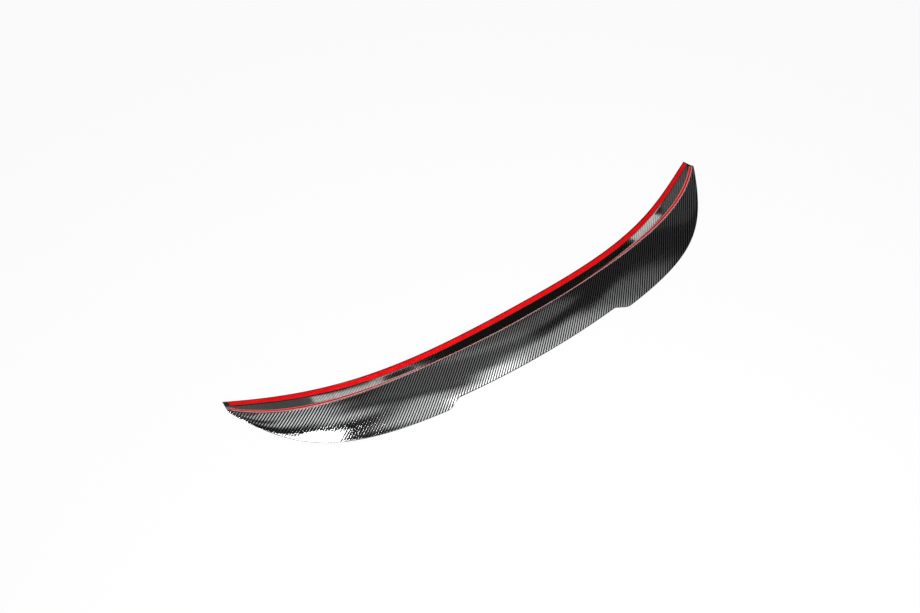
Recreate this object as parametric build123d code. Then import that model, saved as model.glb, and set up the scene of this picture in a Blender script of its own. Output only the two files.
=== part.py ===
# Car rear spoiler: a high-kick boot-lid lip, lying bonding side up as it is photographed.
# Millimetres. X runs across the car, +Y towards the car's nose, +Z up from the table.
# The part lies on its outer skin: the leading edge and the two trailing-edge corners touch the table.
import os
from math import cos, radians, sin

from build123d import *

# Overall size
span = 1180.0

# Leading edge, from its centre: control values of how far it sweeps forward and rises
lead_sweep_inner = 13.5
lead_sweep_outer = 83.5
lead_sweep_tip = 126.0
lead_rise_inner = -2.0
lead_rise_outer = -29.0
lead_rise_tip = -14.5

# Crease between bonding face and rear face: control values from the leading edge's centre
crease_back_centre = 40.5
crease_back_inner = 3.6
crease_sweep_outer = 7.4
crease_sweep_tip = 99.0
crease_rise_centre = 18.0
crease_rise_inner = -9.5
crease_rise_outer = 4.5
crease_rise_tip = -1.5

# Rear face: depth from crease to trailing edge, its taper to the tips, and its tilt in degrees
face_depth = 95.0
face_depth_loss = 8.0
face_taper_power = 6.7
tip_depth = 4.0
tilt_centre = 23.0
tilt_inner = 4.0
tilt_outer = 9.0
tilt_tip = 30.0
face_sag = 0.055

# Bonding side: a ledge behind the lip and a wall under the crease; slopes up to the crease in degrees
ledge_slope_centre = 0.0
ledge_slope_inner = -12.5
ledge_slope_outer = 10.0
ledge_slope_tip = 13.0
wall_slope_centre = 70.0
wall_slope_inner = 42.0
wall_slope_outer = 30.0
wall_slope_tip = 38.0
bed_sag = 0.04

# Trimmed edges, with their corners eased
lip_thickness = 2.6
blade_thickness = 3.2
edge_ease = 0.8
crease_ease = 0.8

# Notch in the middle of the trailing edge
notch_depth = 17.0
notch_half_width = 197.0
notch_slant = 27.0
notch_inner_radius = 5.0
notch_outer_ease = 5.0

# Bonding tapes with their peel-off films, laid by hand, so their ends differ
front_tape_width = 10.4
front_tape_margin = 2.0
front_tape_left_end = 9.0
front_tape_right_end = 3.0
rear_tape_width = 10.2
rear_tape_margin = 1.0
rear_tape_left_end = 6.0
rear_tape_right_end = 4.0
tape_thickness = 1.1
film_thickness = 0.3
film_inset = 0.2
tape_clearance = 1.0

# Modelling values
stations_per_side = 8
notch_points_per_side = 4
bed_depth = 0.5
blade_run_share = 0.4
lip_run_share = 0.5

half_span = span / 2
ledge_width = front_tape_margin + front_tape_width + tape_clearance
wall_width = rear_tape_margin + rear_tape_width + tape_clearance


def blend(x, centre, inner, outer, tip):
    """Even cubic across the span: Bernstein weights of the squared share of the half span."""
    u = (x / half_span) ** 2
    v = 1 - u
    return centre * v**3 + 3 * inner * u * v**2 + 3 * outer * u**2 * v + tip * u**3


def lead(x):
    """Leading edge, upper corner of the lip."""
    y = blend(x, 0, lead_sweep_inner, lead_sweep_outer, lead_sweep_tip)
    z = blend(x, 0, lead_rise_inner, lead_rise_outer, lead_rise_tip)
    return Vector(x, y, z)


def crease(x):
    """Sharp corner of the crease, before it is eased."""
    y = blend(x, -crease_back_centre, -crease_back_inner, crease_sweep_outer, crease_sweep_tip)
    z = blend(x, crease_rise_centre, crease_rise_inner, crease_rise_outer, crease_rise_tip)
    return Vector(x, y, z)


def face_run(x, shortened=0.0):
    """Vector from the crease to the trailing edge, or to a line short of it."""
    share = abs(x) / half_span
    depth = (face_depth - face_depth_loss * share**2) * (1 - share**face_taper_power) + tip_depth
    tilt = radians(blend(x, tilt_centre, tilt_inner, tilt_outer, tilt_tip))
    return Vector(0, -cos(tilt), -sin(tilt)) * (depth - shortened)


def sloping(slope):
    """Unit vector in the section plane, rearward and up by a slope in degrees."""
    return Vector(0, -cos(radians(slope)), sin(radians(slope)))


def across(run):
    """Unit vector in the section plane, square to a rearward run, on its upper side."""
    return Vector(0, run.Z, -run.Y).normalized()


def sagged(start, end, share):
    """Control points of a parabola from start to end that sags by a share of its chord."""
    run = end - start
    return start, (start + end) * 0.5 - across(run) * (2 * share * run.length), end


def part_of(parabola, first, last):
    """Control points of the stretch of a parabola between two shares of it."""

    def blossom(a, b):
        start, middle, end = parabola
        return start * ((1 - a) * (1 - b)) + middle * (a * (1 - b) + b * (1 - a)) + end * (a * b)

    return blossom(first, first), blossom(first, last), blossom(last, last)


def ledge_bed(x):
    """Parabola of the bonding ledge, from the leading edge rearwards."""
    slope = blend(x, ledge_slope_centre, ledge_slope_inner, ledge_slope_outer, ledge_slope_tip)
    return sagged(lead(x), lead(x) + sloping(slope) * ledge_width, bed_sag)


def wall_bed(x):
    """Parabola of the bonding wall, up to the crease."""
    slope = blend(x, wall_slope_centre, wall_slope_inner, wall_slope_outer, wall_slope_tip)
    return sagged(crease(x) - sloping(slope) * wall_width, crease(x), bed_sag)


def bonding_width(x):
    return (crease(x) - lead(x)).length


def eased_edge(start, end, outward):
    """Corner points of a trimmed edge from start to end, its two corners cut back by the ease."""
    step = (end - start).normalized() * edge_ease
    rim = outward * edge_ease
    return [start, start + step + rim, end - step + rim, end]


def polyline(points):
    return [Edge.make_line(a, b) for a, b in zip(points, points[1:])]


def shell_section(x):
    """Closed outline of the shell at one station: bonding side, crease, rear face, blade, skin, lip."""
    run = face_run(x)
    back = run.normalized()
    half_blade = across(run) * (blade_thickness / 2)
    blade_middle = crease(x) + run - back * edge_ease
    face = sagged(crease(x), blade_middle + half_blade, face_sag)
    face = part_of(face, crease_ease / run.length, 1)

    ledge = ledge_bed(x)
    wall = part_of(wall_bed(x), 0, 1 - crease_ease / wall_width)
    lip_run = (ledge[2] - ledge[0]).normalized()
    lip_under = lead(x) - across(lip_run) * lip_thickness
    lip_control = lip_under + lip_run * (lip_run_share * bonding_width(x))
    blade_run = (face[1] - face[2]).normalized()
    blade_under = blade_middle - half_blade
    blade_control = blade_under + blade_run * (blade_run_share * run.length)

    return Wire([
        Edge.make_bezier(*ledge),
        Edge.make_line(ledge[2], wall[0]),
        Edge.make_bezier(*wall),
        Edge.make_line(wall[2], face[0]),
        Edge.make_bezier(*face),
        *polyline(eased_edge(face[2], blade_under, back)),
        Edge.make_bezier(blade_under, blade_control, lip_control, lip_under),
        *polyline(eased_edge(lip_under, lead(x), -lip_run)),
    ])


def strip_section(bed, below, above):
    """Outline of a strip over a stretch of a bed, between two heights over it."""
    up = across(bed[2] - bed[0])
    bottom = [point + up * below for point in bed]
    top = [point + up * above for point in reversed(bed)]
    return Wire([
        Edge.make_bezier(*bottom),
        Edge.make_line(bottom[2], top[0]),
        Edge.make_bezier(*top),
        Edge.make_line(top[2], bottom[0]),
    ])


def stations(left, right):
    """Stations across the span, closer together towards the tips."""
    steps = range(-stations_per_side, stations_per_side + 1)
    waves = [sin(radians(90 * i / stations_per_side)) for i in steps]
    return [(left + right) / 2 + (right - left) / 2 * wave for wave in waves]


def make_notch_tool():
    """Upright prism that takes the middle of the trailing edge away, with slanted sides."""

    def edge(x, shortened=0.0):
        point = crease(x) + face_run(x, shortened)
        return Vector(x, point.Y)

    steps = range(-notch_points_per_side, notch_points_per_side + 1)
    inner = [edge(notch_half_width * i / notch_points_per_side, notch_depth) for i in steps]
    corner = edge(notch_half_width + notch_slant)
    eased = corner + (inner[-1] - corner).normalized() * notch_outer_ease
    outer = edge(corner.X + notch_outer_ease)
    outside = outer + (outer - eased)
    rear = Vector(outside.X, edge(0).Y - notch_depth)
    right_side = [inner[-1], eased, outside, rear]
    left_side = [Vector(-point.X, point.Y) for point in reversed(right_side)]
    with BuildSketch() as outline:
        with BuildLine():
            Spline(*inner)
            Polyline(*right_side, *left_side)
        make_face()
        ends = [outline.vertices().sort_by_distance(end)[0] for end in (inner[0], inner[-1])]
        fillet(ends, notch_inner_radius)
    return extrude(outline.sketch, amount=span, both=True)


def make_shell():
    body = Solid.make_loft([shell_section(x) for x in stations(-half_span, half_span)])
    return body - make_notch_tool()


def make_front_strip(inset, below, above):
    """Strip on the ledge, between two heights over it."""

    def section(x):
        first = (front_tape_margin + inset) / ledge_width
        last = (front_tape_margin + front_tape_width - inset) / ledge_width
        return strip_section(part_of(ledge_bed(x), first, last), below, above)

    left = -half_span + front_tape_left_end + inset
    right = half_span - front_tape_right_end - inset
    return Solid.make_loft([section(x) for x in stations(left, right)])


def make_rear_strip(inset, below, above):
    """Strip on the wall, between two heights over it."""

    def section(x):
        first = (tape_clearance + inset) / wall_width
        last = (tape_clearance + rear_tape_width - inset) / wall_width
        return strip_section(part_of(wall_bed(x), first, last), below, above)

    left = -half_span + rear_tape_left_end + inset
    right = half_span - rear_tape_right_end - inset
    return Solid.make_loft([section(x) for x in stations(left, right)])


def make_parts():
    """The moulded shell, and on its bonding face two foam tapes, each under a red film."""
    shell = make_shell()
    parts = {"spoiler_shell": shell}
    for name, make_strip in (("front", make_front_strip), ("rear", make_rear_strip)):
        tape = make_strip(0, -bed_depth, tape_thickness) - shell
        film = make_strip(film_inset, tape_thickness - bed_depth, tape_thickness + film_thickness)
        parts[name + "_tape"] = tape
        parts[name + "_film"] = film - tape
    return parts


def main():
    os.makedirs("parts", exist_ok=True)
    parts = make_parts()
    box = Compound(parts["spoiler_shell"].edges()).bounding_box()
    rest = Pos(-box.center().X, -box.center().Y, -box.min.Z)
    for name, solid in parts.items():
        export_step(rest * solid, f"parts/{name}.step")


main()
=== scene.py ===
"""Looks of a car rear spoiler, a carbon boot-lid lip lying bonding side up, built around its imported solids.

The frame is the part's own: X across the car, +Y towards the car's nose, +Z up from the table.
Shape values are millimetres, with the names that the part's source gives them; meshes are metres.
"""

import math

import bpy
import numpy as np
from mathutils import Matrix, Vector


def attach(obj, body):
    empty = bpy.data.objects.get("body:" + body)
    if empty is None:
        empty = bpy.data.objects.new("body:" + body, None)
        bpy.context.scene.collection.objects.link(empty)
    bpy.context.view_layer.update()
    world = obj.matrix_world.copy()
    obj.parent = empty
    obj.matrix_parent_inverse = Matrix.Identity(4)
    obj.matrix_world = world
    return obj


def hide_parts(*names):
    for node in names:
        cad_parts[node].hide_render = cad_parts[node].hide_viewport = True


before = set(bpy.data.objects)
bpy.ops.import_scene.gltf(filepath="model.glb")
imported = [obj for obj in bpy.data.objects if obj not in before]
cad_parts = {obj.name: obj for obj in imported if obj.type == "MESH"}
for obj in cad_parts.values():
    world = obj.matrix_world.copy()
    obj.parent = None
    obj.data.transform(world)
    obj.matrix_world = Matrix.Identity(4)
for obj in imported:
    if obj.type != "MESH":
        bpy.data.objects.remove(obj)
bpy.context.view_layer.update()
scene = bpy.context.scene

# Shape of the moulded shell and its strips, as in the part's source
span = 1180.0
lead_sweep_inner, lead_sweep_outer, lead_sweep_tip = 13.5, 83.5, 126.0
lead_rise_inner, lead_rise_outer, lead_rise_tip = -2.0, -29.0, -14.5
crease_back_centre, crease_back_inner = 40.5, 3.6
crease_sweep_outer, crease_sweep_tip = 7.4, 99.0
crease_rise_centre, crease_rise_inner = 18.0, -9.5
crease_rise_outer, crease_rise_tip = 4.5, -1.5
face_depth, face_depth_loss, face_taper_power, tip_depth = 95.0, 8.0, 6.7, 4.0
tilt_centre, tilt_inner, tilt_outer, tilt_tip = 23.0, 4.0, 9.0, 30.0
face_sag, bed_sag = 0.055, 0.04
ledge_slope_centre, ledge_slope_inner, ledge_slope_outer, ledge_slope_tip = 0.0, -12.5, 10.0, 13.0
wall_slope_centre, wall_slope_inner, wall_slope_outer, wall_slope_tip = 70.0, 42.0, 30.0, 38.0
lip_thickness, blade_thickness = 2.6, 3.2
blade_run_share, lip_run_share = 0.4, 0.5
notch_depth, notch_half_width, notch_slant, notch_outer_ease = 17.0, 197.0, 27.0, 5.0
front_tape_width, front_tape_margin = 10.4, 2.0
front_tape_left_end, front_tape_right_end = 9.0, 3.0
rear_tape_width, rear_tape_margin = 10.2, 1.0
rear_tape_left_end, rear_tape_right_end = 6.0, 4.0
tape_thickness, film_thickness, film_inset, tape_clearance = 1.1, 0.3, 0.2, 1.0
half_span = span / 2
ledge_width = front_tape_margin + front_tape_width + tape_clearance
wall_width = rear_tape_margin + rear_tape_width + tape_clearance

# Rounding, where the solids have straight cuts or sharp folds
edge_ease, edge_power = 0.75, 4
crease_ease, fold_ease, notch_corner_round = 1.6, 2.0, 0.8

# Rim of the shell's two ends: how far in and how far out its three rings lie, as shares of its radius
end_radius = 0.7
end_shares = ((0.08, 0.38), (0.29, 0.71), (1.0, 1.0))

# Strips: how far each is sunk into what it lies on, how far its top's rims are lowered, and over what
# share of the width
tape_sink, tape_corner = 0.1, 0.1
film_sink, film_corner = 0.02, 0.05
rim_width_share = 0.125

# Places across a strip, and where its film's rims carry a painted highlight
strip_shares = (0.0, 0.06, 0.12, 0.16, 0.5, 0.84, 0.88, 0.94, 1.0)
highlight_marks = (1.0, 1.0, 1.0, 0.0, 0.0, 0.0, 1.0, 1.0, 1.0)

# Marks round the shell: its bonding side, the crease, whose colour close to the bonding side's is painted
# shade that dims the crease's highlight, and the share across the thickness where it is trimmed.
# The sanded ledge shows one dark ply, so it has that ply's share.
bonding_level, crease_shade_level, face_level = 1.0, 0.9, 0.0
bare_share, untrimmed = 0.375, -1.0

# Cloth of the laminate: tow width, the radius of the arc that it is laid along, and how far it opens
# up at the tips
tow_width = 1.64
cloth_arc = 2600.0
opening_along, opening_across, opening_power = 0.36, 0.08, 3.5

# From the leading edge's centre, where the formulas start, to the part's own origin
origin_shift = np.array([0.0, -3.7027, 21.33])
metres = 0.001

# Mesh density: points round a ring, stations across the span, and how strongly they crowd at ends
bed_steps, fold_steps, crease_steps, face_steps = 10, 5, 6, 48
edge_steps, skin_steps, lip_steps, strip_side_steps = 12, 60, 10, 3
middle_stations, notch_stations, side_stations, tip_stations = 46, 64, 72, 24
strip_station_count = 301
notch_margin_inner, notch_margin_outer, tip_length = 6.0, 8.0, 40.0
ring_crowding, edge_crowding, strip_crowding = 1.6, 3, 0.2
halvings = 40
least_length = 1e-9


# Curves of the section, as arrays over the stations

def blend(x, centre, inner, outer, tip):
    """Even cubic across the span: binomial weights of the squared share of the half span."""
    u = (x / half_span) ** 2
    v = 1 - u
    return centre * v**3 + 3 * inner * u * v**2 + 3 * outer * u**2 * v + tip * u**3


def lead(x):
    """Leading edge: its sweep and rise are two such cubics."""
    y = blend(x, 0, lead_sweep_inner, lead_sweep_outer, lead_sweep_tip)
    z = blend(x, 0, lead_rise_inner, lead_rise_outer, lead_rise_tip)
    return np.stack([x, y, z], axis=-1)


def crease(x):
    """Crease between bonding side and rear face: two more such cubics."""
    y = blend(x, -crease_back_centre, -crease_back_inner, crease_sweep_outer, crease_sweep_tip)
    z = blend(x, crease_rise_centre, crease_rise_inner, crease_rise_outer, crease_rise_tip)
    return np.stack([x, y, z], axis=-1)


def face_run(x, shortened=0.0):
    """Crease to trailing edge: a depth that a high power of the span share takes away, at a mixed tilt."""
    share = np.abs(x) / half_span
    depth = (face_depth - face_depth_loss * share**2) * (1 - share**face_taper_power) + tip_depth
    tilt = np.radians(blend(x, tilt_centre, tilt_inner, tilt_outer, tilt_tip))
    direction = np.stack([np.zeros_like(x), -np.cos(tilt), -np.sin(tilt)], axis=-1)
    return direction * (depth - shortened)[..., None]


def length(vectors):
    """Lengths of vectors, kept as a last axis of one."""
    return np.linalg.norm(vectors, axis=-1, keepdims=True)


def across(run):
    """Unit vector in the section plane, square to a rearward run, on its upper side."""
    turned = np.stack([np.zeros(run.shape[:-1]), run[..., 2], -run[..., 1]], axis=-1)
    return turned / length(turned)


def sagged(start, end, share):
    """Parabola from start to end that sags by a share of its chord, as three control points."""
    run = end - start
    return [start, (start + end) / 2 - across(run) * (2 * share * length(run)), end]


def sloping(slope):
    """Unit vectors in the section plane, rearward and up by slopes in degrees."""
    slope = np.radians(slope)
    return np.stack([np.zeros_like(slope), -np.cos(slope), np.sin(slope)], axis=-1)


def part_of(parabola, first, last):
    """Stretch of a parabola between two shares of it: its control points mixed by both shares."""
    def blossom(a, b):
        start, middle, end = parabola
        return start * ((1 - a) * (1 - b)) + middle * (a * (1 - b) + b * (1 - a)) + end * (a * b)

    return [blossom(first, first), blossom(first, last), blossom(last, last)]


def ledge_bed(x):
    """Parabola of the bonding ledge, from the leading edge rearwards."""
    slope = blend(x, ledge_slope_centre, ledge_slope_inner, ledge_slope_outer, ledge_slope_tip)
    return sagged(lead(x), lead(x) + sloping(slope) * ledge_width, bed_sag)


def wall_bed(x):
    """Parabola of the bonding wall, up to the crease."""
    slope = blend(x, wall_slope_centre, wall_slope_inner, wall_slope_outer, wall_slope_tip)
    return sagged(crease(x) - sloping(slope) * wall_width, crease(x), bed_sag)


def curve_at(controls, t):
    """Points of a curve at the parameters t: its control points by binomial weights."""
    order = len(controls) - 1
    t = t[..., None]
    weights = [math.comb(order, k) * t**k * (1 - t) ** (order - k) for k in range(order + 1)]
    return sum(weight * control[:, None, :] for weight, control in zip(weights, controls))


def stretch(controls, steps, ends=True):
    """Points of a curve at even parameters, with or without its two ends."""
    t = np.linspace(0, 1, steps) if ends else np.linspace(0, 1, steps + 2)[1:-1]
    return curve_at(controls, np.broadcast_to(t, (len(controls[0]), steps)))


def bonding_side(x):
    """Ledge, straight floor and wall, with both folds between them rounded, up to the crease's ease."""
    foot, rise = ledge_bed(x)[2], wall_bed(x)[0]
    floor_run = (rise - foot) / length(rise - foot)
    ledge = part_of(ledge_bed(x), 0, 1 - fold_ease / ledge_width)
    floor = [foot + floor_run * fold_ease, rise - floor_run * fold_ease]
    wall = part_of(wall_bed(x), fold_ease / wall_width, 1 - crease_ease / wall_width)
    return np.concatenate([
        stretch(ledge, bed_steps),
        stretch([ledge[2], foot, floor[0]], fold_steps, ends=False),
        stretch(floor, bed_steps),
        stretch([floor[1], rise, wall[0]], fold_steps, ends=False),
        stretch(wall, bed_steps),
    ], axis=1)


def spread(first, last, steps):
    """Rows of parameters from first to last, both per station: even steps mixed with a sine, which
    brings them closer together at both ends.
    """
    share = np.linspace(-1, 1, steps)
    share = (np.sin(share * np.pi / 2) * (ring_crowding - 1) + share) / ring_crowding
    return first[:, None] + (last - first)[:, None] * (share + 1) / 2


def soft_least(a, b, width):
    """The lesser of two values, with the corner between them rounded over a width."""
    return (a + b - np.sqrt((a - b) ** 2 + width**2)) / 2


def notch_edge(x):
    """Rear limit of the shell in plan: inner edge, slanted side and eased corner of the notch.

    The least of the inner edge and the greater of two straight lines, which are the slanted side and
    the ease at its outer end; far outside the notch it lies behind the trailing edge.
    """
    def edge(at, shortened=0.0):
        at = np.atleast_1d(np.asarray(at, float))
        return crease(at)[..., 1] + face_run(at, shortened)[..., 1]

    def line(at, x0, y0, x1, y1):
        return y0 + (at - x0) * (y1 - y0) / (x1 - x0)

    side = np.abs(x)
    corner_x = notch_half_width + notch_slant
    corner_y = edge(corner_x)[0]
    inner_y = edge(notch_half_width, notch_depth)[0]
    slant_length = np.hypot(notch_slant, inner_y - corner_y)
    eased_x = corner_x - notch_slant * notch_outer_ease / slant_length
    eased_y = line(eased_x, notch_half_width, inner_y, corner_x, corner_y)
    outer_x = corner_x + notch_outer_ease
    slant = line(side, notch_half_width, inner_y, corner_x, corner_y)
    ease = line(side, eased_x, eased_y, outer_x, edge(outer_x)[0])
    return soft_least(edge(side, notch_depth), np.maximum(slant, ease), notch_corner_round)


def share_at(controls, depth):
    """Parameter of a curve where its y is a given depth, halving the interval until it is found."""
    falling = controls[0][:, 1] > controls[-1][:, 1]
    low, high = np.zeros(len(depth)), np.ones(len(depth))
    for _ in range(halvings):
        middle = (low + high) / 2
        y = curve_at(controls, middle[:, None])[:, 0, 1]
        beyond = np.where(falling, y < depth, y > depth)
        low, high = np.where(beyond, low, middle), np.where(beyond, middle, high)
    return (low + high) / 2


def side_shares(steps):
    """Shares of a side without its two ends: even steps mixed with a cosine, closer together at both."""
    share = np.linspace(0, 1, steps + 2)[1:-1]
    return (share + (1 - np.cos(share * np.pi)) / 2 * edge_crowding) / (1 + edge_crowding)


def straight_side(start, end, steps):
    """Straight run from start to end, without the two."""
    return start[:, None, :] + (end - start)[:, None, :] * side_shares(steps)[:, None]


def rounded_edge(start, end, outward, steps):
    """Trimmed edge from start to end: a straight run pushed outwards by a superellipse of its share."""
    push = (1 - np.abs(2 * side_shares(steps) - 1) ** edge_power) ** (1 / edge_power)
    return straight_side(start, end, steps) + (outward * edge_ease)[:, None, :] * push[:, None]


# Surfaces: closed rings, one per station

def shell_rings(x):
    """Rings of the shell, their marks, and the columns of the crease and of the trailing edge's middle.

    Bonding side, rounded crease, rear face cut back to the notch, trailing edge, outer skin as a cubic
    from blade to lip, and the lip's own edge.
    """
    front, ridge, run = lead(x), crease(x), face_run(x)
    back = run / length(run)
    half_blade = across(run) * blade_thickness / 2
    blade_middle = ridge + run - back * edge_ease

    face = sagged(ridge, blade_middle + half_blade, face_sag)
    ledge = ledge_bed(x)
    lip_run = (ledge[2] - ledge[0]) / length(ledge[2] - ledge[0])
    lip_under = front - across(lip_run) * lip_thickness
    blade_run = (face[1] - face[2]) / length(face[1] - face[2])
    blade_under = blade_middle - half_blade
    skin = [
        blade_under,
        blade_under + blade_run * blade_run_share * length(run),
        lip_under + lip_run * lip_run_share * length(ridge - front),
        lip_under,
    ]

    cut = notch_edge(x) + edge_ease
    notched = cut > face[2][:, 1]
    face_start = crease_ease / length(run)[:, 0]
    face_end = np.where(notched, share_at(face, cut), 1.0)
    skin_start = np.where(notched, share_at(skin, cut), 0.0)
    outward = np.where(notched[:, None], np.array([0.0, -1.0, 0.0]), back)

    part_bonding = bonding_side(x)
    part_face = curve_at(face, spread(face_start, face_end, face_steps))
    part_turn = stretch([part_bonding[:, -1], ridge, part_face[:, 0]], crease_steps, ends=False)
    part_skin = curve_at(skin, spread(skin_start, np.ones_like(x), skin_steps))
    part_trailing = rounded_edge(part_face[:, -1], part_skin[:, 0], outward, edge_steps)
    part_lip = rounded_edge(part_skin[:, -1], part_bonding[:, 0], -lip_run, lip_steps)

    parts = [part_bonding, part_turn, part_face, part_trailing, part_skin, part_lip]
    counts = [part.shape[1] for part in parts]
    # The crease's level is painted shade, which dims its highlight
    levels = [bonding_level, crease_shade_level, face_level, face_level, face_level, bonding_level]
    edge_share = [
        np.full(bed_steps, bare_share),
        np.full(sum(counts[:3]) - bed_steps, untrimmed),
        np.linspace(0, 1, edge_steps),
        np.full(skin_steps, untrimmed),
        np.linspace(0, 1, lip_steps),
    ]
    marks = {"bonding_side": np.repeat(levels, counts), "edge_share": np.concatenate(edge_share)}
    crease_column = counts[0] + crease_steps // 2
    trailing_column = sum(counts[:3]) + edge_steps // 2
    return np.concatenate(parts, axis=1), marks, crease_column, trailing_column


def shell_stations():
    """Stations across the span: even steps, finer through the notch's sides and towards the tips."""
    inner = notch_half_width - notch_margin_inner
    outer = notch_half_width + notch_slant + notch_margin_outer
    tip = half_span - tip_length
    half = np.concatenate([
        np.linspace(0, inner, middle_stations)[:-1],
        np.linspace(inner, outer, notch_stations)[:-1],
        np.linspace(outer, tip, side_stations)[:-1],
        tip + (half_span - tip) * np.sin(np.linspace(0, np.pi / 2, tip_stations)),
    ])
    return np.concatenate([-half[:0:-1], half])


def rounded_ends(rings):
    """Each end ring three more times, drawn in square to its own outline to round the end's rim."""
    def drawn_in(ring, inset, reach):
        before, after = np.roll(ring, 1, axis=0), np.roll(ring, -1, axis=0)
        along = (after - before) / np.maximum(length(after - before), least_length)
        inwards = np.stack([np.zeros(len(ring)), -along[:, 2], along[:, 1]], axis=-1)
        middle = ring.mean(axis=0)
        inwards *= np.sign(np.sum(inwards * (middle - ring)))
        return ring + inwards * inset + np.array([reach, 0, 0])

    first = [drawn_in(rings[0], a * end_radius, -(b - 1) * end_radius) for a, b in reversed(end_shares)]
    last = [drawn_in(rings[-1], a * end_radius, (b - 1) * end_radius) for a, b in end_shares]
    inner = rings.copy()
    inner[0, :, 0] += end_radius
    inner[-1, :, 0] -= end_radius
    return np.concatenate([first, inner, last])


def cloth_lines(rings, start, seam):
    """Cloth coordinates in tows: place along a wide arc in plan, and path length round the ring.

    The path starts at the crease and runs both ways to a seam in the trailing edge, where no cloth
    shows. It is offset by the crease's own distance from the arc, so that the cloth runs on over the
    crease. Towards the tips the tows open up by a power of the span share. One more column closes the
    ring.
    """
    closed = np.concatenate([rings, rings[:, :1]], axis=1)
    steps = length(np.diff(closed, axis=1))[..., 0]
    path = np.concatenate([np.zeros((len(rings), 1)), np.cumsum(steps, axis=1)], axis=1)
    path[:, seam:] -= path[:, -1:].copy()
    path -= path[:, start:start + 1].copy()
    ridge = rings[:, start]
    reach = np.hypot(ridge[:, 0], cloth_arc - ridge[:, 1]) - cloth_arc
    angle = np.arctan2(closed[..., 0], cloth_arc - closed[..., 1])
    share = np.abs(closed[..., 0]) / half_span
    along = cloth_arc * angle * (1 - opening_along / (opening_power + 1) * share**opening_power)
    down = path * (1 - opening_across * share**opening_power) + reach[:, None]
    return np.stack([along, down], axis=-1) / tow_width


def strip_rings(bed, below, above, corner):
    """Rings of a strip laid on a stretch of a bed, between two heights over it.

    Each ring runs along the top, whose two rims are lowered by a corner, down the far side, back along
    the bed and up the near side.
    """
    share = np.array(strip_shares)
    laid = curve_at(bed, np.broadcast_to(share, (len(bed[0]), len(share))))
    up = across(bed[2] - bed[0])[:, None, :]
    ease = np.minimum(1, np.minimum(share, 1 - share) / rim_width_share) * corner
    top = laid + up * (above - corner + ease)[:, None]
    low = (laid + up * below)[:, ::-1]
    far = straight_side(top[:, -1], low[:, 0], strip_side_steps)
    near = straight_side(low[:, -1], top[:, 0], strip_side_steps)
    return np.concatenate([top, far, low, near], axis=1)


def strip_stations(left, right):
    """Stations of a strip: even steps plus a sine, which brings them closer together at its two ends."""
    steps = np.linspace(-1, 1, strip_station_count)
    steps = steps + strip_crowding * np.sin(np.pi * steps) / np.pi
    return (left + right) / 2 + (right - left) / 2 * steps


def front_strip(inset, below, above, corner):
    """Strip on the ledge, at an even margin from the leading edge."""
    x = strip_stations(-half_span + front_tape_left_end + inset, half_span - front_tape_right_end - inset)
    first = (front_tape_margin + inset) / ledge_width
    last = (front_tape_margin + front_tape_width - inset) / ledge_width
    return strip_rings(part_of(ledge_bed(x), first, last), below, above, corner)


def rear_strip(inset, below, above, corner):
    """Strip on the wall, at an even margin from the crease."""
    x = strip_stations(-half_span + rear_tape_left_end + inset, half_span - rear_tape_right_end - inset)
    first = (tape_clearance + inset) / wall_width
    last = (tape_clearance + rear_tape_width - inset) / wall_width
    return strip_rings(part_of(wall_bed(x), first, last), below, above, corner)


# Meshes and objects

def ring_mesh(name, rings, marks, cloth=None):
    """Mesh of closed rings joined by quads, with both ends closed by one flat face each.

    Marks become values of the points, and cloth coordinates a UV map.
    """
    count, around, _ = rings.shape
    row, column = np.meshgrid(np.arange(count - 1), np.arange(around), indexing="ij")
    after = (column + 1) % around
    quads = np.stack([
        row * around + column, (row + 1) * around + column,
        (row + 1) * around + after, row * around + after,
    ], axis=-1).reshape(-1, 4)
    ends = [np.arange(around), (count - 1) * around + np.arange(around)[::-1]]
    mesh = bpy.data.meshes.new(name)
    places = (rings + origin_shift).reshape(-1, 3) * metres
    mesh.from_pydata(places.tolist(), [], quads.tolist() + [end.tolist() for end in ends])
    smooth = np.ones(len(mesh.polygons), bool)
    smooth[-len(ends):] = False
    mesh.polygons.foreach_set("use_smooth", smooth)

    pairs = np.empty(len(mesh.edges) * 2, np.int32)
    mesh.edges.foreach_get("vertices", pairs)
    ring_of = pairs.reshape(-1, 2) // around
    at_end = (ring_of[:, 0] == ring_of[:, 1]) & np.isin(ring_of[:, 0], [0, count - 1])
    mesh.attributes.new("sharp_edge", "BOOLEAN", "EDGE").data.foreach_set("value", at_end)

    if cloth is not None:
        corners = np.stack([
            cloth[row, column], cloth[row + 1, column],
            cloth[row + 1, column + 1], cloth[row, column + 1],
        ], axis=2).reshape(-1, 2)
        rims = [cloth[0, :around], cloth[-1, :around][::-1]]
        layer = mesh.uv_layers.new(name="cloth")
        layer.data.foreach_set("uv", np.concatenate([corners, *rims]).astype(np.float32).ravel())
    for mark, values in marks.items():
        of_points = np.broadcast_to(values, (count, around)).astype(np.float32).ravel()
        mesh.attributes.new(mark, "FLOAT", "POINT").data.foreach_set("value", of_points)
    return mesh


def put(name, data):
    """Object of a mesh, a lamp or a camera, linked into the scene."""
    thing = bpy.data.objects.new(name, data)
    scene.collection.objects.link(thing)
    return thing


def make_piece(name, mesh, finish, slot, *nodes):
    """Object of a mesh, riding on the part and standing for the solids that it takes the place of."""
    piece = put(name, mesh)
    mesh.materials.append(finish)
    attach(piece, "root")
    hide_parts(*nodes)


# Shader maths

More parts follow.
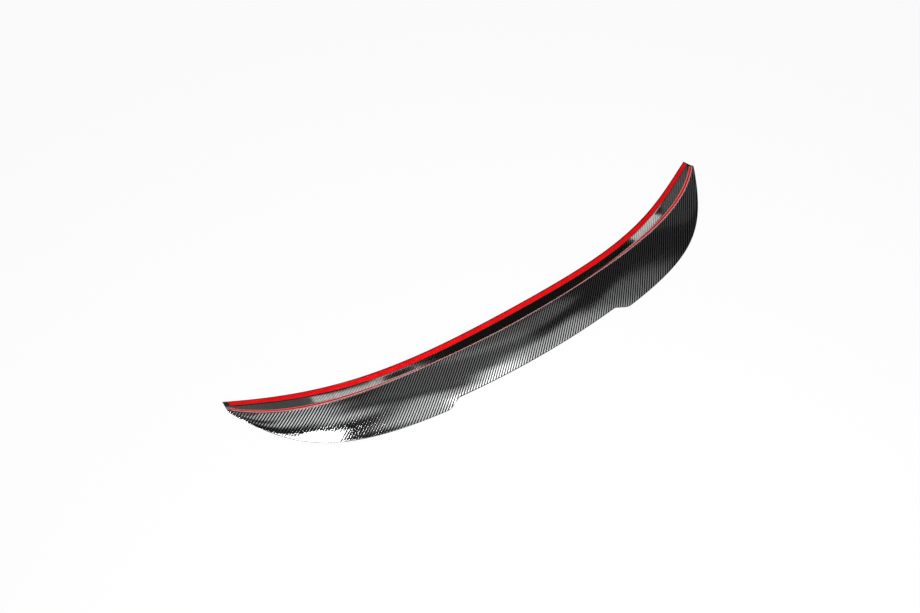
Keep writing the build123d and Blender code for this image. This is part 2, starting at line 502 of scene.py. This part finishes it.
class Signal:
    """A socket that sums like a number: every operator adds one Math node to its tree."""

    def __init__(self, finish, socket):
        self.finish = finish
        self.socket = socket

    def out(self, key):
        """Another output of the same node."""
        return Signal(self.finish, self.socket.node.outputs[key])

    def math(self, operation, *values):
        return self.finish.add("ShaderNodeMath", {"operation": operation}, *values)

    def __add__(self, other):
        return self.math("ADD", self, other)

    def __sub__(self, other):
        return self.math("SUBTRACT", self, other)

    def __rsub__(self, other):
        return self.math("SUBTRACT", other, self)

    def __mul__(self, other):
        return self.math("MULTIPLY", self, other)

    __radd__ = __add__
    __rmul__ = __mul__

    def cos(self):
        return self.math("COSINE", self)

    def floor(self):
        return self.math("FLOOR", self)

    def greatest(self, other):
        return self.math("MAXIMUM", self, other)

    def least(self, other):
        return self.math("MINIMUM", self, other)

    def size(self):
        return self.math("ABSOLUTE", self)

    def step(self, low, high):
        """Smooth step of the value from low to high."""
        return self.finish.add("ShaderNodeMapRange", {"interpolation_type": "SMOOTHSTEP"}, self, low, high)


class Finish:
    """Node tree of a material or of the world, filled by one node-adding method."""

    def __init__(self, owner):
        owner.use_nodes = True
        self.owner = owner
        self.tree = owner.node_tree
        self.tree.nodes.clear()

    def add(self, kind, settings=None, *values, **named):
        """Node of a kind: settings first, then socket values or links, in order or by name.

        Gives the node's first output, if it has any.
        """
        node = self.tree.nodes.new(kind)
        for key, value in (settings or {}).items():
            setattr(node, key, value)
        sockets = list(zip(node.inputs, values))
        sockets += [(node.inputs[key.replace("_", " ")], value) for key, value in named.items()]
        for socket, value in sockets:
            if isinstance(value, Signal):
                self.tree.links.new(value.socket, socket)
            elif value is not None:
                socket.default_value = value
        return Signal(self, node.outputs[0]) if node.outputs else None

    def mix(self, share, first, second):
        """Colour between two colours by a share; five sockets for other kinds of value lie between them."""
        others = [None] * 5
        return self.add("ShaderNodeMix", {"data_type": "RGBA"}, share, *others, first, second).out(2)

    def attribute(self, name):
        """Value that a mesh gives its points."""
        return self.add("ShaderNodeAttribute", {"attribute_name": name}).out("Fac")

    def places(self, uv_map):
        """Both coordinates of a UV map."""
        uv = self.add("ShaderNodeUVMap", {"uv_map": uv_map})
        lines = self.add("ShaderNodeSeparateXYZ", None, uv)
        return lines.out("X"), lines.out("Y")

    def chance(self, number):
        """Random share that goes with each whole number."""
        return self.add("ShaderNodeTexWhiteNoise", {"noise_dimensions": "1D"}, W=number).out("Value")

    def surface(self, shader):
        """Output node, which shows a shader."""
        of_world = isinstance(self.owner, bpy.types.World)
        self.add("ShaderNodeOutputWorld" if of_world else "ShaderNodeOutputMaterial", None, shader)

    def principled(self, **values):
        """Principled surface with the given socket values."""
        self.surface(self.add("ShaderNodeBsdfPrincipled", None, **values))


def grey(level, tint=(1.0, 1.0, 1.0)):
    """Grey of a level, or a tinted one."""
    return (level * tint[0], level * tint[1], level * tint[2], 1.0)


# Finishes

def carbon_finish():
    """Clear-coated two-and-two twill: tows with a painted sheen or painted shade, rounded and dipping, under
    a smooth gloss coat.

    A tow's height is a cosine of the place along it, a quarter turn to a tow and shifted by one tow from
    each tow to the next, plus a parabola across its width. Where the warp lies clearly higher, a lit tow
    shows, and elsewhere an unlit one: both are one black fibre, so the lit tow's pale metal colour is a
    painted sheen and the unlit tow's near black is painted shade. Trimmed edges show plies, as a cosine
    of the share across the thickness.
    """
    quarter = math.pi / 2
    warp_start, weft_start, chance_shift = 1, 3, 0.5
    warp_over = (0.55, 0.75)
    trim_marks = (-0.6, -0.2)
    ply_pairs = 4
    warm = (1.0, 0.94, 0.88)
    # Lit colours are a painted sheen and unlit ones painted shade, strong on the face and weaker on the
    # duller bonding side
    face_lit, bonding_lit = grey(0.98, (0.98, 0.99, 1.0)), grey(0.09, warm)
    face_unlit, bonding_unlit = grey(0.003, (0.95, 0.97, 1.05)), grey(0.055, warm)
    greyed_lit, greyed_unlit = grey(0.40), grey(0.008)
    lit_variety, unlit_variety = 0.20, 0.35
    ply_dark, ply_pale = grey(0.004), grey(0.018)
    roughness, trim_roughness, tow_roughness = 0.09, 0.40, 0.03
    trim_coat_loss = 0.85

    finish = Finish(bpy.data.materials.new("carbon_twill_clearcoat"))
    u, v = finish.places("cloth")
    warp, weft = u.floor(), v.floor()

    warp_lift = ((v + warp - warp_start) * quarter).cos()
    weft_lift = ((u + weft - weft_start) * quarter).cos()
    warp_place, weft_place = (u - warp) * 2 - 1, (v - weft) * 2 - 1
    warp_height = warp_lift + (1 - warp_place * warp_place)
    weft_height = weft_lift + (1 - weft_place * weft_place)
    over = (warp_height - weft_height).step(*warp_over)
    height = warp_height.greatest(weft_height)

    warp_chance = finish.chance(warp)
    weft_chance = finish.chance(weft + chance_shift)
    bonding = finish.attribute("bonding_side")
    edge = finish.attribute("edge_share")
    trimmed = edge.step(*trim_marks)
    plies = (edge * (2 * math.pi * ply_pairs)).cos() * 0.5 + 0.5

    # Painted sheen on the lit tows and painted shade on the unlit ones, by the bonding side's mark
    lit = finish.mix(bonding, face_lit, bonding_lit)
    unlit = finish.mix(bonding, face_unlit, bonding_unlit)
    lit = finish.mix(warp_chance * lit_variety, lit, greyed_lit)
    unlit = finish.mix(weft_chance * unlit_variety, unlit, greyed_unlit)
    weave = finish.mix(over, unlit, lit)
    laminate = finish.mix(plies, ply_dark, ply_pale)
    colour = finish.mix(trimmed, weave, laminate)

    relief = finish.add("ShaderNodeBump", None, Strength=0.012, Distance=0.00012, Height=height)
    finish.principled(
        Base_Color=colour,
        Metallic=1 - trimmed,
        Roughness=roughness + trimmed * trim_roughness + weft_chance * tow_roughness,
        Normal=relief,
        Coat_Weight=1 - trimmed * trim_coat_loss,
        Coat_Roughness=0.03,
        Coat_IOR=1.33,
        Specular_IOR_Level=0.15,
    )
    return finish.owner


def film_finish():
    """Red peel-off film: saturated, nearly matt, faintly cloudy, with pale rims that are a painted highlight.
    """
    red, deep_red, highlight_pink = (0.95, 0.002, 0.005, 1.0), (0.80, 0.001, 0.003, 1.0), (0.90, 0.50, 0.48, 1.0)
    cloud_marks = (0.3, 0.7)
    roughness, cloud_roughness = 0.40, 0.12

    finish = Finish(bpy.data.materials.new("red_release_film"))
    place = finish.add("ShaderNodeTexCoord").out("Object")
    clouds = finish.add("ShaderNodeTexNoise", None, Vector=place, Scale=60.0, Detail=3.0)
    ripples = finish.add("ShaderNodeTexNoise", None, Vector=place, Scale=260.0, Detail=2.0)
    colour = finish.mix(clouds.step(*cloud_marks), red, deep_red)
    # Pale rims are a painted highlight
    colour = finish.mix(finish.attribute("painted_highlight_share"), colour, highlight_pink)
    relief = finish.add("ShaderNodeBump", None, Strength=0.15, Distance=0.0002, Height=ripples)
    finish.principled(
        Base_Color=colour,
        Roughness=roughness + clouds * cloud_roughness,
        Normal=relief,
        Specular_IOR_Level=0.06,
    )
    return finish.owner


def foam_finish():
    """Charcoal acrylic foam: matt, with fine open pores, and pale pink where a highlight is painted on it."""
    pore, charcoal, highlight_side = grey(0.010), grey(0.040), (0.50, 0.20, 0.21, 1.0)
    pore_marks = (0.05, 0.5)

    finish = Finish(bpy.data.materials.new("charcoal_foam"))
    place = finish.add("ShaderNodeTexCoord").out("Object")
    pores = finish.add("ShaderNodeTexVoronoi", None, Vector=place, Scale=2600.0).out("Distance")
    colour = finish.mix(pores.step(*pore_marks), pore, charcoal)
    # Pale pink on the rear tape is a painted highlight
    colour = finish.mix(finish.attribute("painted_highlight_share"), colour, highlight_side)
    relief = finish.add("ShaderNodeBump", None, Strength=0.5, Distance=0.0001, Height=pores)
    finish.principled(Base_Color=colour, Roughness=0.85, Normal=relief)
    return finish.owner


def make_object():
    """The shell, and two foam tapes with their films; only the rear strip has a painted highlight on its
    rims.
    """
    rings, marks, crease_column, trailing_column = shell_rings(shell_stations())
    rings = rounded_ends(rings)
    cloth = cloth_lines(rings, crease_column, trailing_column)
    carbon, foam, film = carbon_finish(), foam_finish(), film_finish()
    shell = ring_mesh("carbon_shell", rings, marks, cloth)
    make_piece("carbon_shell", shell, carbon, "carbon_gloss", "spoiler_shell")
    for end, strip, highlighted in (("front", front_strip, 0.0), ("rear", rear_strip, 1.0)):
        rings = strip(0.0, -tape_sink, tape_thickness, tape_corner)
        # The rear strip's rims get a painted highlight, the front strip's none
        rim = np.full(rings.shape[1], highlighted)
        tape = ring_mesh(end + "_foam", rings, {"painted_highlight_share": rim})
        make_piece(end + "_foam_tape", tape, foam, "tape_foam", end + "_tape")
        rings = strip(film_inset, tape_thickness - film_sink, tape_thickness + film_thickness, film_corner)
        rim[:len(highlight_marks)] *= highlight_marks
        liner = ring_mesh(end + "_liner", rings, {"painted_highlight_share": rim})
        make_piece(end + "_red_liner", liner, film, "red_film", end + "_film")


# Studio, in metres

# Camera: place, its own right, down and ahead as unit vectors, lens and frame width in millimetres
camera_place = Vector((-0.6436, -0.6873, 1.5124))
camera_right = Vector((0.8367, -0.5462, 0.0401))
camera_down = Vector((-0.4468, -0.7230, -0.5270))
camera_ahead = Vector((0.3169, 0.4230, -0.8489))
camera_lens, camera_frame_width = 33.26, 36.0
camera_near = 0.01

# Background: light of the world where it isn't seen, and the floor's half side, white and own light
world_level = 0.35
floor_reach, floor_white, floor_glow = 30, 0.97, 0.90

# What the gloss shows is a dark room: centre, two half sides and brightness of its ceiling and walls
wall_middle, wall_half_height = 1.32, 1.28
wall_rise = (0, 0, wall_half_height)
room = (
    ("dark_ceiling", (0, 0, 2.6), (6, 0, 0), (0, 6, 0), 0.03),
    ("dark_front_wall", (0, 1.2, wall_middle), (4, 0, 0), wall_rise, 0.06),
    ("dim_rear_wall", (0, -3.0, wall_middle), (4, 0, 0), wall_rise, 0.16),
    ("dark_right_wall", (3.0, 0, wall_middle), (0, 4, 0), wall_rise, 0.07),
    ("dim_left_wall", (-3.0, 0, wall_middle), (0, 4, 0), wall_rise, 0.25),
)

# Level cards under its ceiling, each a little higher than the last: place, half sides and brightness
overhead_height, overhead_step, overhead_rim = 1.9, 0.005, 0.25
overhead = (
    ("left_strip", -0.38, -0.05, 0.29, 0.25, 0.85),
    ("left_fill", -1.39, -1.18, 0.90, 0.79, 0.52),
    ("left_patch", -0.84, -0.31, 0.48, 0.34, 0.68),
    ("middle_fill", 0.29, 0.21, 0.48, 0.54, 0.80),
    ("notch_band", 0.48, -0.08, 0.25, 0.60, 1.60),
    ("right_fill", 0.87, 0.08, 0.49, 0.98, 0.55),
    ("low_fill", 0.71, -1.51, 1.03, 0.45, 0.14),
    ("right_rim", 1.42, 0.15, 0.36, 0.75, 0.17),
    ("middle_low", 0.25, -0.88, 0.74, 0.69, 0.13),
)

# Slanted cards: a key and the notch's band under its ceiling, and on its front wall those that the bonding
# side shows. Each has its centre, half sides, brightness and soft rim.
slanted = (
    ("left_key", (-0.40, 0.49, 1.895), (0.125, 0.089, 0), (0.06, 0.18, 0), 28.0, 0.01),
    ("notch_rim", (0.58, -0.05, 1.89), (0.36, -0.19, 0), (0.06, 0.14, 0), 2.6, 0.10),
    ("left_wedge", (0.012, 1.17, 1.34), (0.12, 0, 0), (0.068, 0, 0.74), 4.2, 0.03),
    ("left_end", (-0.10, 1.16, 0.32), (0.16, 0, 0), (0, 0, 0.30), 0.45, 0.05),
    ("right_wedge", (1.395, 1.17, 1.20), (0.12, 0, 0), (0.225, 0, 0.42), 4.2, 0.03),
    ("right_end", (0.94, 1.16, 0.42), (0.16, 0, 0), (0, 0, 0.36), 0.55, 0.05),
)


def make_camera():
    camera = bpy.data.cameras.new("camera")
    camera.sensor_width = camera_frame_width
    camera.sensor_fit = "HORIZONTAL"
    camera.lens = camera_lens
    camera.clip_start = camera_near
    stand = put("camera", camera)
    turn = Matrix((camera_right, -camera_down, -camera_ahead)).transposed()
    stand.matrix_world = Matrix.Translation(camera_place) @ turn.to_quaternion().to_matrix().to_4x4()
    scene.camera = stand


def seen_share(finish):
    """1 for rays that show the background: camera, glossy and transmission rays."""
    path = finish.add("ShaderNodeLightPath")
    seen = path.out("Is Camera Ray") + path.out("Is Glossy Ray") + path.out("Is Transmission Ray")
    return seen.least(1.0)


def make_world():
    """White where it is seen, and a plain grey level of light elsewhere."""
    world = bpy.data.worlds.new("white_studio")
    scene.world = world
    finish = Finish(world)
    level = seen_share(finish) * (1 - world_level) + world_level
    finish.surface(finish.add("ShaderNodeBackground", None, grey(1.0), level))


def card_mesh(name, centre, right, up):
    """Flat parallelogram about a centre, from its two half sides, with places from -1 to 1 across it."""
    centre, right, up = np.array(centre), np.array(right), np.array(up)
    places = np.array([(-1.0, -1.0), (1.0, -1.0), (1.0, 1.0), (-1.0, 1.0)])
    corners = centre + places @ np.stack([right, up])
    mesh = bpy.data.meshes.new(name)
    mesh.from_pydata(corners.tolist(), [], [(0, 1, 2, 3)])
    mesh.uv_layers.new(name="card").data.foreach_set("uv", places.astype(np.float32).ravel())
    return mesh


def make_floor():
    """White floor that keeps a pale shadow: mostly its own light where it is seen, matt white elsewhere."""
    finish = Finish(bpy.data.materials.new("white_floor"))
    seen = seen_share(finish)
    matt = finish.add("ShaderNodeBsdfDiffuse", None, grey(floor_white))
    glow = finish.add("ShaderNodeEmission", None, grey(1.0), 1.0)
    finish.surface(finish.add("ShaderNodeMixShader", None, seen * floor_glow, matt, glow))
    floor = put("floor", card_mesh("floor", (0, 0, 0), (floor_reach, 0, 0), (0, floor_reach, 0)))
    floor.data.materials.append(finish.owner)


def make_card(name, centre, right, up, level, soft=None):
    """Card that only shows in reflections: opaque, or see-through with light that fades over a soft rim."""
    finish = Finish(bpy.data.materials.new(name))
    if soft is None:
        shader = finish.add("ShaderNodeEmission", None, grey(level), 1.0)
    else:
        places = finish.places("card")
        rims = [soft / Vector(side).length for side in (right, up)]
        inside = [(1 - place.size()).step(0.0, rim) for place, rim in zip(places, rims)]
        glow = finish.mix(inside[0] * inside[1], grey(0.0), grey(level))
        light = finish.add("ShaderNodeEmission", None, glow, 1.0)
        clear = finish.add("ShaderNodeBsdfTransparent")
        shader = finish.add("ShaderNodeAddShader", None, light, clear)
    finish.surface(shader)
    card = put(name, card_mesh(name, centre, right, up))
    card.data.materials.append(finish.owner)
    card.visible_camera = False
    card.visible_diffuse = False
    card.visible_shadow = False
    card.visible_transmission = False


def make_softbox(name, place, aim, width, height, brightness):
    """Rectangular lamp aimed at a point, not shown by the gloss: its power is brightness by area by pi."""
    lamp = bpy.data.lights.new(name, "AREA")
    lamp.shape = "RECTANGLE"
    lamp.size, lamp.size_y = width, height
    lamp.energy = brightness * math.pi * width * height
    stand = put(name, lamp)
    stand.rotation_euler = (Vector(aim) - Vector(place)).to_track_quat("-Z", "Y").to_euler()
    stand.location = place
    stand.visible_glossy = False


def make_studio():
    make_camera()
    make_world()
    make_floor()
    make_softbox("rear_softbox", (-0.5, -1.0, 1.6), aim=(0, 0, 0), width=1.2, height=1.0, brightness=8.0)
    for wall in room:
        make_card(*wall)
    for rank, (name, x, y, half_width, half_depth, level) in enumerate(overhead):
        place = (x, y, overhead_height + overhead_step * rank)
        make_card(name, place, (half_width, 0, 0), (0, half_depth, 0), level, overhead_rim)
    for card in slanted:
        make_card(*card)


make_object()
make_studio()

scene.view_settings.view_transform = "Standard"
